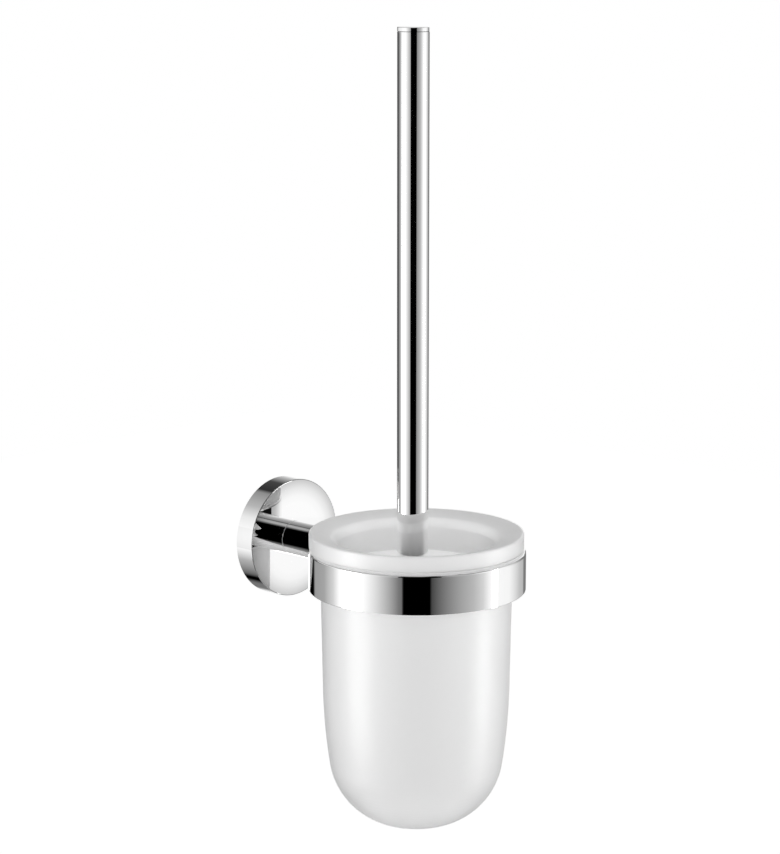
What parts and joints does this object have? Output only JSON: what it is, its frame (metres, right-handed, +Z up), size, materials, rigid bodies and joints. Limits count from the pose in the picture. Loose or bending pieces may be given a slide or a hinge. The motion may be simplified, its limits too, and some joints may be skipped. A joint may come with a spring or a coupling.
{
  "type": "toilet brush holder",
  "caption": "Wall-mounted toilet brush holder: a round flange and arm carry a chromed ring, a frosted glass tumbler hangs in it, and a brush with a long chromed handle stands in the tumbler.",
  "frame": {"origin": "centre of the flange's back, on the wall plane, midway between the two wall screws", "axes": "+Z up along the handle, +Y into the wall, so the ring and tumbler stand off along -Y"},
  "size_m": [0.11, 0.156, 0.4065],
  "materials": {
    "chrome": "polished chrome plate on brass",
    "bracket_metal": "bare cast and turned",
    "steel": "plain stainless",
    "plug_brass": "turned brass",
    "liner_plastic": "white plastic",
    "frosted_glass": "satin white, etched",
    "seal_rubber": "matt",
    "white_plastic": "satin moulded",
    "bristle": "white nylon filaments"
  },
  "bodies": {
    "holder": {"wall_bracket": "bracket_metal", "flange_cup": "chrome", "grub_screw": "steel", "arm_bolt": "steel", "arm_washer": "steel", "arm": "chrome", "holder_ring": "chrome", "ring_screw": "steel", "ring_liner": "liner_plastic"},
    "tumbler": {"glass_tumbler": "frosted_glass"},
    "brush": {"handle_tube": "chrome", "handle_cap": "chrome", "handle_plug": "plug_brass", "handle_stud": "steel", "handle_seal": "seal_rubber", "cover_disc": "white_plastic", "brush_core": "white_plastic", "bristles": "bristle"}
  },
  "joints": [
    {"name": "tumbler_lift", "type": "slide", "parent": "holder", "child": "tumbler", "axis": [0, 0, 1], "range_m": [0, 0.15]},
    {"name": "brush_lift", "type": "slide", "parent": "tumbler", "child": "brush", "axis": [0, 0, 1], "range_m": [0, 0.15]}
  ]
}
